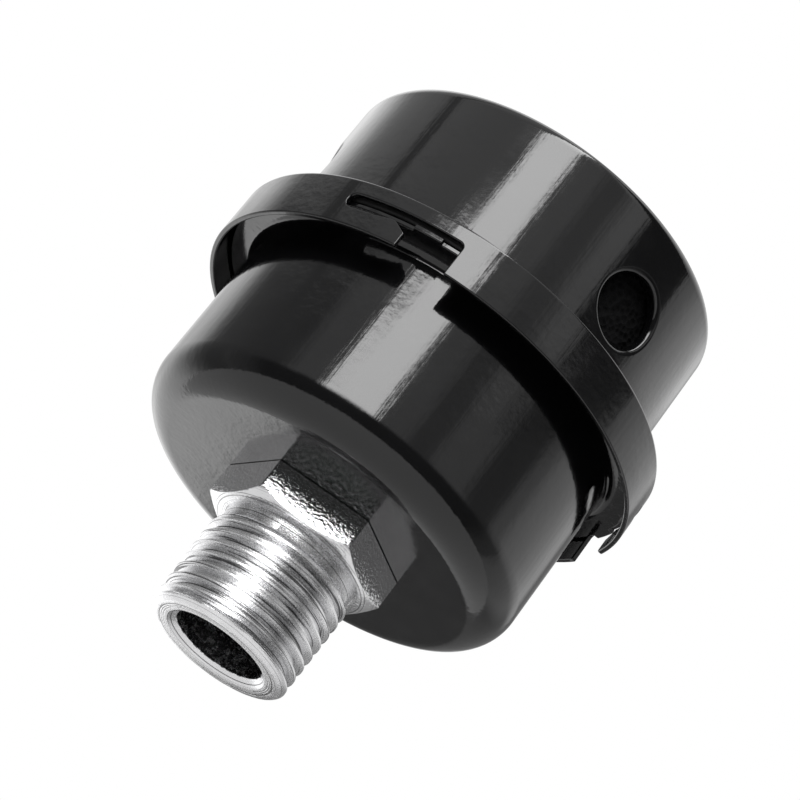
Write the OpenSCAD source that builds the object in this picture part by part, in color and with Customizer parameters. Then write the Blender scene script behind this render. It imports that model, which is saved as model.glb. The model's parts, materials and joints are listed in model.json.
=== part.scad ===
// Intake muffler for a small air compressor: two drawn steel cans held together by a
// three-lug bayonet, a hexagon nipple with a half inch tapered male thread, and a
// replaceable pleated filter cartridge inside. Millimetres, +Z from the thread to the cap,
// origin at the centre of the thread's end face.

/* [Sheet metal] */
// Thickness of the drawn steel sheet
sheet_t = 0.75; // [0.6:0.05:0.8]

/* [Threaded nipple] */
// Length of the male thread
thread_len = 14.1; // [12:0.1:16]
// Largest diameter over the thread crests
thread_d = 20.96; // [20.4:0.02:21.2]
// Distance from one thread crest to the next
thread_pitch = 1.814; // [1.6:0.001:2]
// Length of the plain neck between thread and hexagon
neck_len = 1.9; // [1:0.1:3]
// Diameter of the plain neck
neck_d = 19.6; // [19:0.1:20]
// Width of the hexagon across its flats
hex_af = 23.0; // [22:0.5:25]
// Height of the hexagon
hex_h = 5.4; // [4.5:0.1:7]
// Diameter of the flat ring that the hexagon's turned end leaves on its face
hex_face_d = 22.4; // [22:0.1:22.8]
// Direction of one corner of the hexagon, in degrees
hex_a = -7.1; // [-30:0.1:30]
// Diameter of the air bore through the nipple
bore_d = 13.1; // [12:0.1:13.4]
// Diameter of the countersunk mouth of the bore
mouth_d = 14.8; // [14:0.1:16]
// Diameter of the spigot that passes through the base can
spigot_d = 17.2; // [16.6:0.1:17.6]

/* [Base can] */
// Outside diameter of the base can
base_d = 56.1; // [54:0.1:57]
// Height from the base can's bottom face to the top of its flange
base_h = 27.6; // [25:0.05:32]
// Outside radius of the base can's bottom edge
base_edge_r = 5.2; // [3:0.1:6]
// Diameter of the outward flange round the base can's mouth
flange_d = 64.0; // [63.6:0.1:64.1]

/* [Cap can] */
// Outside diameter of the cap can
cap_d = 56.4; // [55:0.1:57.4]
// Height of the cap can above its collar
cap_h = 22.0; // [20:0.1:28]
// Outside radius of the cap can's top edge
cap_edge_r = 1.9; // [1.5:0.1:3]
// Outside diameter of the collar
collar_d = 66.0; // [65.9:0.1:66.4]
// Height of the collar
collar_h = 7.25; // [7:0.05:8]
// Distance that the collar hangs below the top of the base can's flange
collar_drop = 4.35; // [4.2:0.05:5]
// Clear diameter of each air hole
hole_d = 9.8; // [8:0.1:10.5]
// Height of the air holes' centres above the collar's top edge
hole_z = 9.2; // [8:0.1:12]
// Direction of the first air hole, in degrees
hole_a = -57.5; // [-59:0.5:-56]

/* [Bayonet] */
// Height of the slot that a lug slides along
slot_h = 2.15; // [2:0.05:2.2]
// Direction of the slot's closed end, in degrees
slot_closed_a = -130.3; // [-131:0.1:-129.5]
// Direction of the side of the notch that the slot runs on to, in degrees
slot_open_a = -100.8; // [-101.5:0.1:-100]
// Direction of the other side of the notch, beside the spring tongue, in degrees
notch_a = -113.2; // [-113.4:0.1:-113]
// Direction of the tip of the spring tongue, in degrees
tongue_a = -116.9; // [-118:0.1:-116]
// Angle that one lug covers, in degrees
lug_arc = 7.2; // [6:0.1:9]

/* [Filter cartridge] */
// Height of the cartridge from its lower plate to the top of its upper plate
cartridge_h = 43.9; // [40:0.1:44]
// Outside diameter of the foam sleeve
foam_d = 51.6; // [50:0.1:51.8]
// Inside diameter of the perforated core tube
core_d = 31.2; // [31:0.1:32]
// Thickness of the cartridge's plates and core tube
plate_t = 0.6; // [0.5:0.05:0.8]
// Number of pleats in the filter paper
pleats = 44; // [36:1:52]

/* [Hidden] */
$fn = 96;

// Places that repeat round the axis
lugs = 3;
step_a = 360 / lugs;

// Heights, from the thread's end face upwards
z_hex = thread_len + neck_len;
z_bottom = z_hex + hex_h;
z_flange_top = z_bottom + base_h;
z_flange = z_flange_top - sheet_t;
z_collar = z_flange_top - collar_drop;
z_ledge = z_collar + collar_h;
z_top = z_ledge + cap_h;

// Radii that several parts share
base_r = base_d / 2;
cap_r = cap_d / 2;
collar_r = collar_d / 2;
hex_r = hex_af / 2 / cos(30);
bore_r = bore_d / 2;
spigot_r = spigot_d / 2;
hex_dome_r = 26;

// Thread: rings with a narrow flat crest and a narrow flat root, after a plain nose
thread_depth = 1.1;
crest_w = 0.35;
rings = floor(thread_len / thread_pitch - 0.5);
nose_h = thread_len - rings * thread_pitch;
nose_drop = 0.25;
thread_r = thread_d / 2;
root_r = thread_r - thread_depth;

// Spigot and the pieces that clamp the base can to it
spigot_gap = 0.05;
fibre_t = 0.5;
backing_t = 1.2;
nut_h = 3.5;
nut_af = 24;
spigot_proud = 1.0;
washer_r = nut_af / 2 / cos(30) - 0.8;
z_fibre = z_bottom + sheet_t;
z_backing = z_fibre + fibre_t;
z_nut = z_backing + backing_t;
z_spigot_end = z_nut + nut_h + spigot_proud;

// Bayonet: the slot's height range and the shape of the tongue that it frees
slot_floor_gap = 0.8;
z_slot = z_flange - slot_floor_gap;
tongue_rise = 0.55;
tongue_slope_h = 1.25;
tongue_bend_a = tongue_a - 4.6;
tongue_bend_rise = 0.12;
notch_corner_r = 0.7;
lug_tip_gap = 0.05;
lug_side_gap = 0.6;
cut_depth = 5;
slot_mid_a = (slot_closed_a + slot_open_a) / 2;
lug_a = notch_a + lug_side_gap;

// Flange fillet, ledge bend and the rolled-in rims of the air holes
flange_fillet = 1.3;
ledge_bend = 0.45;
rim_t = 0.6;
rim_depth = 1.2;

// Cartridge stack inside the cans
gap = 0.1;
seat_t = 2.5;
z_seat_gasket = z_bottom + sheet_t + gap;
z_lower = z_seat_gasket + seat_t;
z_upper = z_lower + cartridge_h - plate_t;
core_r = core_d / 2;
plate_r = foam_d / 2 - 0.2;
plate_hole_r = core_r - plate_t - gap;
rim_h = 3;
foam_t = 3.1;
foam_r = foam_d / 2;
rim_r = foam_r - foam_t - gap;
pleat_out_r = rim_r - plate_t - gap;
pleat_in_r = core_r + plate_t + 0.2;
pleat_wall = 1.4;

// Seals in the cap
seal_r = collar_r - sheet_t - 0.15;
seal_in_r = cap_r + 0.4;
pad_gap = 0.25;
pad_r = 20;

// Outline of a round cup in section, closed at y0 and cut square at y1
module cup_section(r, y0, y1, edge_r) {
    translate([0, y0]) square([r - edge_r, y1 - y0]);
    translate([0, y0 + edge_r]) square([r, y1 - y0 - edge_r]);
    translate([r - edge_r, y0 + edge_r]) circle(edge_r);
}

// Flat ring, from z0 up
module ring(r_out, r_in, z0, h) {
    translate([0, 0, z0]) difference() {
        cylinder(r = r_out, h = h);
        translate([0, 0, -gap]) cylinder(r = r_in, h = h + 2 * gap);
    }
}

// Sector of a flat ring, from angle a0 to a1
module ring_sector(r_out, r_in, z0, h, a0, a1) {
    rotate([0, 0, a0]) rotate_extrude(angle = a1 - a0)
        translate([r_in, z0]) square([r_out - r_in, h]);
}

module repeat_round() {
    for (i = [0 : lugs - 1]) rotate([0, 0, i * step_a]) children();
}

// ---- Nipple -------------------------------------------------------------

function thread_ring(i) = let (y = nose_h + (i + 0.5) * thread_pitch) [
    [root_r, y - thread_pitch / 2 + crest_w / 2],
    [thread_r, y - crest_w / 2],
    [thread_r, y + crest_w / 2],
    [root_r, y + thread_pitch / 2 - crest_w / 2]
];

module nipple_section() {
    polygon(concat(
        [[mouth_d / 2, 0], [root_r, 0], [thread_r - nose_drop, thread_depth],
         [root_r, nose_h - crest_w / 2]],
        [for (i = [0 : rings - 1]) each thread_ring(i)],
        [[neck_d / 2, thread_len], [neck_d / 2, z_hex + hex_h / 2],
         [spigot_r, z_hex + hex_h / 2], [spigot_r, z_spigot_end],
         [bore_r, z_spigot_end], [bore_r, mouth_d / 2 - bore_r]]
    ));
}

// Hexagon with its thread side turned down to a shallow dome
module nipple_hexagon() {
    dome_drop = sqrt(pow(hex_dome_r, 2) - pow(hex_face_d / 2, 2));
    intersection() {
        translate([0, 0, z_hex]) rotate([0, 0, hex_a])
            cylinder(r = hex_r, h = hex_h, $fn = 6);
        translate([0, 0, z_hex + dome_drop]) sphere(r = hex_dome_r);
    }
}

module threaded_nipple() {
    color("silver") {
        rotate_extrude() nipple_section();
        difference() {
            nipple_hexagon();
            cylinder(r = bore_r + gap, h = z_top);
        }
    }
}

module nipple_fibre_washer() {
    color("firebrick") ring(washer_r, spigot_r + gap, z_fibre, fibre_t);
}

module nipple_backing_washer() {
    color("silver") ring(washer_r, spigot_r + gap, z_backing, backing_t);
}

module nipple_lock_nut() {
    color("silver") translate([0, 0, z_nut]) difference() {
        cylinder(d = nut_af / cos(30), h = nut_h, $fn = 6);
        translate([0, 0, -gap]) cylinder(r = spigot_r + spigot_gap, h = nut_h + 2 * gap);
    }
}

// ---- Base can -----------------------------------------------------------

// The can's wall and bottom, with the hole for the spigot
module base_section() {
    difference() {
        cup_section(base_r, z_bottom, z_flange_top, base_edge_r);
        cup_section(base_r - sheet_t, z_bottom + sheet_t, z_top, base_edge_r - sheet_t);
        square([spigot_r + spigot_gap, z_top]);
    }
}

// The flange and the fillet that turns the wall out into it
module flange_section() {
    translate([base_r - gap, z_flange]) square([flange_d / 2 - base_r + gap, sheet_t]);
    difference() {
        translate([base_r - gap, z_flange - flange_fillet])
            square([flange_fillet + gap, flange_fillet + gap]);
        translate([base_r + flange_fillet, z_flange - flange_fillet]) circle(flange_fillet);
    }
}

module lug() {
    ring_sector(collar_r - lug_tip_gap, flange_d / 2 - 1, z_flange, sheet_t,
        lug_a, lug_a + lug_arc);
}

module base_can() {
    color("dimgray") {
        rotate_extrude() base_section();
        rotate_extrude() flange_section();
        repeat_round() lug();
    }
}

// ---- Cap can ------------------------------------------------------------

module cap_section() {
    difference() {
        union() {
            // Crown and wall
            mirror([0, 1]) cup_section(cap_r, -z_top, -z_ledge + sheet_t, cap_edge_r);
            // Ledge and collar, with a tight bend between them
            mirror([0, 1]) cup_section(collar_r, -z_ledge, -z_collar, ledge_bend);
        }
        mirror([0, 1])
            cup_section(cap_r - sheet_t, -z_top + sheet_t, -z_collar, cap_edge_r - sheet_t);
        translate([0, z_collar - gap])
            square([collar_r - sheet_t, collar_h - sheet_t + gap]);
    }
}

// Cut through the collar for one lug: a slot with a round closed end, and the notch
// that lets the lug in. x runs round the collar and y up it.
function round_x(a) = collar_r * sin(a - slot_mid_a);

module bayonet_outline() {
    x_closed = round_x(slot_closed_a);
    x_open = round_x(slot_open_a);
    x_notch = round_x(notch_a);
    y_tip = z_slot + tongue_rise;
    y_top = z_slot + slot_h;
    translate([x_closed + slot_h / 2, z_slot + slot_h / 2]) circle(d = slot_h);
    translate([x_open - notch_corner_r, y_top - notch_corner_r]) circle(notch_corner_r);
    polygon([
        [x_closed + slot_h / 2, z_slot],
        [round_x(tongue_bend_a), z_slot + tongue_bend_rise], [round_x(tongue_a), y_tip],
        [x_notch, y_tip - tongue_slope_h], [x_notch, z_collar - sheet_t],
        [x_open, z_collar - sheet_t], [x_open, y_top - notch_corner_r],
        [x_open - notch_corner_r, y_top], [x_closed + slot_h / 2, y_top]
    ]);
}

module bayonet_cut() {
    rotate([0, 0, slot_mid_a]) translate([collar_r - cut_depth + sheet_t, 0, 0])
        rotate([90, 0, 90]) linear_extrude(cut_depth) bayonet_outline();
}

// One air hole, drilled from outside towards the axis
module air_hole(d, depth) {
    rotate([0, 0, hole_a]) translate([cap_r - depth, 0, z_ledge + hole_z])
        rotate([0, 90, 0]) cylinder(d = d, h = depth + sheet_t);
}

// Rim that is rolled inwards round an air hole
module hole_rim() {
    intersection() {
        air_hole(hole_d + 2 * rim_t, sheet_t + rim_depth);
        cylinder(r = cap_r - sheet_t / 2, h = z_top);
    }
}

module cap_can() {
    color("dimgray") difference() {
        union() {
            rotate_extrude() cap_section();
            repeat_round() hole_rim();
        }
        repeat_round() bayonet_cut();
        repeat_round() air_hole(hole_d, cut_depth);
    }
}

module cap_seal_ring() {
    z0 = z_flange_top + gap;
    color("black") ring(seal_r, seal_in_r, z0, z_ledge - sheet_t - z0);
}

module cap_pressure_pad() {
    z0 = z_upper + plate_t + pad_gap;
    color("gainsboro") translate([0, 0, z0])
        cylinder(r = pad_r, h = z_top - sheet_t - pad_gap - z0);
}

// ---- Filter cartridge ---------------------------------------------------

module cartridge_seat_gasket() {
    color("black") ring(base_r - base_edge_r - 0.4, plate_hole_r, z_seat_gasket, seat_t);
}

module cartridge_lower_plate() {
    color("silver") {
        ring(plate_r, plate_hole_r, z_lower, plate_t);
        ring(rim_r, rim_r - plate_t, z_lower, rim_h);
        ring(plate_hole_r + plate_t, plate_hole_r, z_lower, rim_h);
    }
}

module cartridge_upper_plate() {
    color("silver") {
        translate([0, 0, z_upper]) cylinder(r = plate_r, h = plate_t);
        ring(rim_r, rim_r - plate_t, z_upper + plate_t - rim_h, rim_h);
    }
}

module filter_core_tube() {
    z0 = z_lower + plate_t;
    color("lightgray") ring(core_r + plate_t, core_r, z0, z_upper - z0);
}

// A pleated sheet bent round into a ring: a star with another star cut out of it
function star(r_out, r_in) = [
    for (i = [0 : 2 * pleats - 1]) let (r = i % 2 == 0 ? r_out : r_in, a = i * 180 / pleats)
        [r * cos(a), r * sin(a)]
];

module pleated_filter_paper() {
    z0 = z_lower + plate_t;
    color("wheat") translate([0, 0, z0]) linear_extrude(z_upper - z0) difference() {
        polygon(star(pleat_out_r, pleat_in_r + pleat_wall));
        polygon(star(pleat_out_r - pleat_wall, pleat_in_r));
    }
}

module foam_prefilter_sleeve() {
    z0 = z_lower + plate_t;
    color("darkslategray") ring(foam_r, foam_r - foam_t, z0, z_upper - z0);
}

threaded_nipple();
base_can();
cap_can();
nipple_fibre_washer();
nipple_backing_washer();
nipple_lock_nut();
cap_seal_ring();
cap_pressure_pad();
cartridge_seat_gasket();
cartridge_lower_plate();
cartridge_upper_plate();
filter_core_tube();
pleated_filter_paper();
foam_prefilter_sleeve();
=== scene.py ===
"""Intake muffler: the detailed visual model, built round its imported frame."""

import json
import math

import bmesh
import bpy
from mathutils import Matrix, Vector, noise
from mathutils.geometry import delaunay_2d_cdt

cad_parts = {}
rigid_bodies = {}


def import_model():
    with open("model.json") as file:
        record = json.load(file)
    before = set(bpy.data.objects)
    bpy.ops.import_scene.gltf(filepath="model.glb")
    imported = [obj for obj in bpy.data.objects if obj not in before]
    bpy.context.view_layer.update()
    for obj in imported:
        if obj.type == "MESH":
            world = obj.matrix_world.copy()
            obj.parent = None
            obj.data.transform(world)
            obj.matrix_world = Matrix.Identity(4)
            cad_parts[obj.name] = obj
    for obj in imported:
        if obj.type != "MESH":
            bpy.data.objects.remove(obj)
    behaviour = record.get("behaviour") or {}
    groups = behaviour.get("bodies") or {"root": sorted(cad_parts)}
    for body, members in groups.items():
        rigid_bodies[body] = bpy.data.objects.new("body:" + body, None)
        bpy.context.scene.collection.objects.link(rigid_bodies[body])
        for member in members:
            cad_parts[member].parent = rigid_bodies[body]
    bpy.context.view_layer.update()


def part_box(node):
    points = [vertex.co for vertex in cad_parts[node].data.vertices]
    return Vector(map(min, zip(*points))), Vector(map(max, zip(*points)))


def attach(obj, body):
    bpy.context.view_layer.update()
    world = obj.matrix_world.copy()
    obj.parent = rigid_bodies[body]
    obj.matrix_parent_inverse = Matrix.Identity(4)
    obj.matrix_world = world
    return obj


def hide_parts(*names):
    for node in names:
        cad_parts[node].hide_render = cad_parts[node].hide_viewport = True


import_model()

bl_info = {
    "name": "Intake muffler",
    "version": (1, 0, 0),
    "blender": (4, 5, 0),
    "location": "View3D > Sidebar > Muffler",
    "description": "Builds a bayonet intake muffler piece by piece",
    "category": "Add Mesh",
}

MM = 0.001
TURN = 360
LUGS = 3
STEP = TURN // LUGS
WELD = 2e-6
SHARP = math.radians(32)


def span(node):
    """Lowest and highest z, and the largest x or y, of a CAD node, in millimetres."""
    low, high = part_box(node)
    return low.z / MM, high.z / MM, max(high.x, high.y, -low.x, -low.y) / MM


NIPPLE_TOP_Z = span("threaded_nipple")[1]
SEAT_Z, FLANGE_Z, LUG_R = span("base_can")
COLLAR_Z, TOP_Z, COLLAR_R = span("cap_can")


# ---- Sizes and finishes that a user would change ---------------------------


def length(name, text, millimetres):
    return bpy.props.FloatProperty(
        name=name, description=text, default=millimetres * MM, min=0, unit="LENGTH", precision=5
    )


def direction(name, text, degrees):
    return bpy.props.FloatProperty(
        name=name, description=text, default=math.radians(degrees), unit="ROTATION"
    )


def colour(name, text, value):
    return bpy.props.FloatVectorProperty(
        name=name, description=text, default=value, min=0, max=1, subtype="COLOR"
    )


class MufflerCanSizes(bpy.types.PropertyGroup):
    sheet: length("Sheet", "Thickness of the drawn steel sheet", 0.75)
    edge: length("Cut edge", "Radius that paint gives a cut edge of the sheet", 0.2)
    base_radius: length("Base radius", "Outside radius of the base can", 28.05)
    base_edge: length("Base edge", "Radius of the base can's bottom edge", 5.2)
    nipple_hole: length("Nipple hole", "Radius of the hole for the nipple's spigot", 8.65)
    flange_radius: length("Flange radius", "Radius of the base can's flange", 32.0)
    flange_bend: length("Flange bend", "Radius of the bend into the flange", 1.3)
    cap_radius: length("Cap radius", "Outside radius of the cap can", 28.2)
    cap_edge: length("Cap edge", "Radius of the cap can's top edge", 1.9)
    collar_height: length("Collar height", "Height of the collar", 7.25)
    collar_bend: length("Collar bend", "Radius of the bend between ledge and collar", 0.45)
    ledge_bend: length("Ledge bend", "Radius of the bend between wall and ledge", 0.35)


class MufflerOpeningSizes(bpy.types.PropertyGroup):
    hole_radius: length("Air hole radius", "Clear radius of an air hole", 4.9)
    hole_height: length("Air hole height", "Height of an air hole above the collar", 9.2)
    hole_shoulder: length("Hole shoulder", "Radius of the rolled-in rim", 0.85)
    hole_depth: length("Hole depth", "Depth of the rolled-in rim", 1.95)
    hole_side: direction("Air hole side", "Direction of the first air hole", -57.5)
    slot_height: length("Slot height", "Height of a bayonet slot", 2.15)
    slot_drop: length("Slot drop", "Distance from the flange's top to the slot's floor", 1.55)
    slot_closed: direction("Slot end", "Direction of the slot's closed end", -130.3)
    slot_open: direction("Notch far side", "Direction of the notch's far side", -100.8)
    notch_side: direction("Notch near side", "Direction of the tongue's end", -113.2)
    tongue_tip: direction("Tongue tip", "Direction of the tongue's highest point", -116.9)
    tongue_bend: direction("Tongue bend", "Direction where the tongue starts to rise", -121.5)
    tongue_rise: length("Tongue rise", "Height of the tongue's tip above the slot's floor", 0.55)
    tongue_slope: length("Tongue slope", "Height of the slope at the tongue's end", 1.25)
    lug_start: direction("Lug start", "Direction of the lug's first side", -112.6)
    lug_arc: direction("Lug arc", "Angle that a lug covers", 7.2)


class MufflerNippleSizes(bpy.types.PropertyGroup):
    thread_length: length("Thread length", "Length of the male thread", 14.1)
    pitch: length("Pitch", "Distance between thread crests", 1.814)
    crest: length("Crest radius", "Crest radius at the hexagon's end of the thread", 10.48)
    depth: length("Thread depth", "Depth of the thread", 1.1)
    taper: bpy.props.FloatProperty(
        name="Taper", description="Loss of radius along the thread", default=0.016, min=0
    )
    nose: length("Nose radius", "Radius of the flat end ring", 9.1)
    neck: length("Neck radius", "Radius of the plain neck", 9.8)
    hexagon_z: length("Hexagon start", "Distance from the thread's end to the hexagon", 16.0)
    flats: length("Flats", "Width of the hexagon across its flats", 23.0)
    corner: direction("Corner", "Direction of one corner of the hexagon", -7.1)
    dome: length("Dome", "Radius of the dome that the hexagon is turned to", 26.0)
    face: length("Face radius", "Radius of the hexagon's flat end ring", 11.2)
    bore: length("Bore radius", "Radius of the air bore", 6.55)
    mouth: length("Mouth radius", "Radius of the bore's countersunk mouth", 7.4)
    spigot: length("Spigot radius", "Radius of the spigot inside the can", 8.6)


class MufflerCartridgeSizes(bpy.types.PropertyGroup):
    plate: length("Plate", "Thickness of the plates and the core tube", 0.6)
    pleats: bpy.props.IntProperty(
        name="Pleats", description="Number of pleats in the paper", default=44, min=8
    )
    pleat_wall: length("Pleat wall", "Thickness of the pleated paper, measured radially", 1.4)
    hole_rows: bpy.props.IntProperty(
        name="Hole rows", description="Rows of holes in the core tube", default=12, min=2
    )
    hole_columns: bpy.props.IntProperty(
        name="Hole columns", description="Holes round the core tube", default=30, min=6
    )


class MufflerFinishes(bpy.types.PropertyGroup):
    paint: colour("Paint", "Gloss paint on the cans", (0.002, 0.002, 0.0022))
    zinc: colour("Zinc", "Bright zinc plate", (0.78, 0.78, 0.79))
    tin: colour("Tinned sheet", "Plates and core tube", (0.66, 0.67, 0.68))
    fibre: colour("Fibre", "Pressed fibre washer", (0.42, 0.07, 0.05))
    # Black rubber, its colour darkened further as painted shade for the seal seen in the bayonet slots.
    rubber: colour("Rubber", "Seals", (0.006, 0.006, 0.006))
    felt: colour("Felt", "Pressure pad", (0.35, 0.35, 0.34))
    paper: colour("Paper", "Pleated filter paper", (0.84, 0.78, 0.62))
    # Black foam, its colour darkened further as painted shade for the dark inside the air holes.
    foam: colour("Foam", "Open-cell foam sleeve", (0.004, 0.004, 0.0043))
    floor: colour("Floor", "Floor of the studio", (0.62, 0.62, 0.62))


def sizes(group):
    """The lengths of a property group in millimetres and its angles in degrees."""
    result = {}
    for key, prop in group.bl_rna.properties.items():
        unit = getattr(prop, "unit", "NONE")
        if key in ("rna_type", "name"):
            continue
        value = getattr(group, key)
        if unit == "LENGTH":
            value = round(value / MM, 5)
        elif unit == "ROTATION":
            value = round(math.degrees(value), 4)
        result[key] = value
    return type("Sizes", (), result)


# ---- Surfaces ---------------------------------------------------------------


def turn(angle):
    """Cosine and sine of an angle in degrees, the same for equal angles on any turn."""
    a = math.radians(round(angle % TURN, 6))
    return math.cos(a), math.sin(a)


QUARTER_ROUND = [turn(k * 22.5) for k in range(5)]


def unit(vector):
    size = math.sqrt(sum(c * c for c in vector)) or 1.0
    return tuple(c / size for c in vector)


class Skin:
    """A closed surface, collected point by point in millimetres with a normal at each."""

    def __init__(self):
        self.points, self.normals, self.faces, self.known = [], [], [], {}

    def point(self, place, normal):
        key = tuple(round(c, 4) for c in place)
        if key not in self.known:
            self.known[key] = len(self.points)
            self.points.append(place)
            self.normals.append(unit(normal))
        return self.known[key]

    def face(self, corners):
        ids = [i for k, i in enumerate(corners) if i != corners[k - 1]]
        if len(set(ids)) < 3:
            return
        p = [self.points[i] for i in ids]
        u = [p[2][k] - p[0][k] for k in range(3)]
        v = [p[-1][k] - p[1][k] for k in range(3)]
        flat = (u[1] * v[2] - u[2] * v[1], u[2] * v[0] - u[0] * v[2], u[0] * v[1] - u[1] * v[0])
        out = [sum(self.normals[i][k] for i in ids) for k in range(3)]
        if sum(a * b for a, b in zip(flat, out)) < 0:
            ids.reverse()
        self.faces.append(ids)

    def lathe(self, rings, closed=True):
        rows = [[self.point(p, n) for p, n in ring] for ring in rings]
        for low, high in zip(rows, rows[1:]):
            count = len(low)
            for i in range(count if closed else count - 1):
                j = (i + 1) % count
                self.face([low[i], low[j], high[j], high[i]])

    def mesh(self, name, own_normals=True):
        mesh = bpy.data.meshes.new(name)
        mesh.from_pydata([tuple(c * MM for c in p) for p in self.points], [], self.faces)
        mesh.validate()
        mesh.shade_smooth()
        if own_normals:
            mesh.normals_split_custom_set_from_vertices(self.normals)
        return mesh


def ring(columns, r, z, nr, nz):
    return [((r * c, r * s, z), (nr * c, nr * s, nz)) for c, s in map(turn, columns)]


def bend(r, z, radius, start, end, steps, hollow=False):
    """Section points round a bend, with normals away from its centre, or towards it."""
    side = -1 if hollow else 1
    result = []
    for k in range(steps + 1):
        c, s = turn(start + (end - start) * k / steps)
        result.append((r + radius * c, z + radius * s, side * c, side * s))
    return result


def rounded(outline, radius, steps=3):
    """A closed outline with its corners rounded, as far as its sides are long enough."""
    result = []
    for k, corner in enumerate(outline):
        if corner[0] <= 0:
            result.append(corner)
            continue
        sides = []
        for other in (outline[k - 1], outline[(k + 1) % len(outline)]):
            reach = math.dist(corner, other)
            cut = min(radius, 0.45 * reach) / reach
            sides.append([c + (o - c) * cut for c, o in zip(corner, other)])
        for i in range(steps + 1):
            t = i / steps
            weights = ((1 - t) ** 2, 2 * t * (1 - t), t * t)
            result.append(
                tuple(
                    weights[0] * a + weights[1] * b + weights[2] * c
                    for a, b, c in zip(sides[0], corner, sides[1])
                )
            )
    return result


def finish_mesh(mesh):
    """Welds a mesh, turns its faces outwards and smooths it up to sharp edges."""
    work = bmesh.new()
    work.from_mesh(mesh)
    bmesh.ops.remove_doubles(work, verts=work.verts, dist=WELD)
    bmesh.ops.dissolve_degenerate(work, edges=work.edges, dist=WELD / 4)
    bmesh.ops.recalc_face_normals(work, faces=work.faces)
    work.to_mesh(mesh)
    work.free()
    mesh.shade_smooth()
    mesh.set_sharp_from_angle(angle=SHARP)
    return mesh


def turned(name, outline, columns=180, shape=None):
    """A mesh turned round the axis from a closed outline; shape moves each point."""
    skin = Skin()
    angles = [k * TURN / columns for k in range(columns)]
    rings = []
    for r, z in list(outline) + [outline[0]]:
        row = ring(angles, r, z, 1, 0)
        rings.append([(shape(p), n) if shape else (p, n) for p, n in row])
    skin.lathe(rings)
    return finish_mesh(skin.mesh(name, own_normals=False))


def place(name, mesh, material, body, nodes, slot):
    """Puts a finished mesh in the scene, on its body, in place of its CAD nodes."""
    piece = bpy.data.objects.new(name, mesh)
    bpy.context.scene.collection.objects.link(piece)
    mesh.materials.clear()
    mesh.materials.append(material)
    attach(piece, body)
    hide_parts(*nodes)
    return piece


# ---- Geometry Nodes ---------------------------------------------------------


class Recipe:
    """A Geometry Nodes tree with named inputs, written as formulas."""

    def __init__(self, name, numbers, counts):
        self.tree = bpy.data.node_groups.new(name, "GeometryNodeTree")
        face = self.tree.interface
        face.new_socket("Geometry", in_out="INPUT", socket_type="NodeSocketGeometry")
        self.ids = {}
        for kind, names in (("NodeSocketFloat", numbers), ("NodeSocketInt", counts)):
            for key in names:
                self.ids[key] = face.new_socket(key, in_out="INPUT", socket_type=kind).identifier
        self.ids["Material"] = face.new_socket(
            "Material", in_out="INPUT", socket_type="NodeSocketMaterial"
        ).identifier
        face.new_socket("Geometry", in_out="OUTPUT", socket_type="NodeSocketGeometry")
        self.inputs = self.tree.nodes.new("NodeGroupInput")

    def __getitem__(self, key):
        return self.inputs.outputs[key]

    def feed(self, socket, value):
        if isinstance(value, bpy.types.NodeSocket):
            self.tree.links.new(value, socket)
        else:
            socket.default_value = value

    def node(self, kind, inputs, **settings):
        node = self.tree.nodes.new(kind)
        for key, value in settings.items():
            setattr(node, key, value)
        for key, value in inputs.items():
            self.feed(node.inputs[key], value)
        return node

    def math(self, operation, *values):
        inputs = dict(enumerate(values))
        return self.node("ShaderNodeMath", inputs, operation=operation).outputs[0]

    def fade(self, value, start, end):
        inputs = {"Value": value, "From Min": start, "From Max": end}
        node = self.node("ShaderNodeMapRange", inputs, interpolation_type="SMOOTHSTEP")
        return node.outputs["Result"]

    def grid(self, across, along):
        """A flat grid, and where each of its points is across and along it, from 0 to 1."""
        grid = self.node(
            "GeometryNodeMeshGrid",
            {"Size X": 1.0, "Size Y": 1.0, "Vertices X": across, "Vertices Y": along},
        )
        place = self.node("GeometryNodeInputPosition", {}).outputs[0]
        parts = self.node("ShaderNodeSeparateXYZ", {0: place}).outputs
        u, v = (self.math("ADD", parts[k], 0.5) for k in (0, 1))
        return grid.outputs["Mesh"], u, v

    def wrapped(self, mesh, radius, angle, z):
        """Moves a mesh on to a radius, angle and height, and welds its seam."""
        x = self.math("MULTIPLY", radius, self.math("COSINE", angle))
        y = self.math("MULTIPLY", radius, self.math("SINE", angle))
        point = self.node("ShaderNodeCombineXYZ", {"X": x, "Y": y, "Z": z}).outputs[0]
        moved = self.node("GeometryNodeSetPosition", {"Geometry": mesh, "Position": point})
        return self.welded(moved.outputs[0])

    def welded(self, mesh):
        inputs = {"Geometry": mesh, "Distance": WELD}
        return self.node("GeometryNodeMergeByDistance", inputs).outputs[0]

    def end(self, mesh):
        real = self.node("GeometryNodeRealizeInstances", {"Geometry": mesh}).outputs[0]
        made = self.node("GeometryNodeSetMaterial", {"Geometry": real, "Material": self["Material"]})
        output = self.tree.nodes.new("NodeGroupOutput")
        self.tree.links.new(made.outputs[0], output.inputs[0])

    def run(self, name, values):
        host = bpy.data.objects.new(name, bpy.data.meshes.new(name))
        bpy.context.scene.collection.objects.link(host)
        modifier = host.modifiers.new("shape", "NODES")
        modifier.node_group = self.tree
        for key, value in values.items():
            modifier[self.ids[key]] = value
        bpy.context.view_layer.update()
        graph = bpy.context.evaluated_depsgraph_get()
        mesh = bpy.data.meshes.new_from_object(host.evaluated_get(graph))
        host.modifiers.remove(modifier)
        bpy.data.objects.remove(host)
        if not mesh.polygons:
            raise RuntimeError(f"the tree for {name} made no faces")
        mesh.name = name
        return mesh


THREAD_ROWS_PER_PITCH = 12
FLAT_SHARE = 1 / 6
TAU = 2 * math.pi


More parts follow.
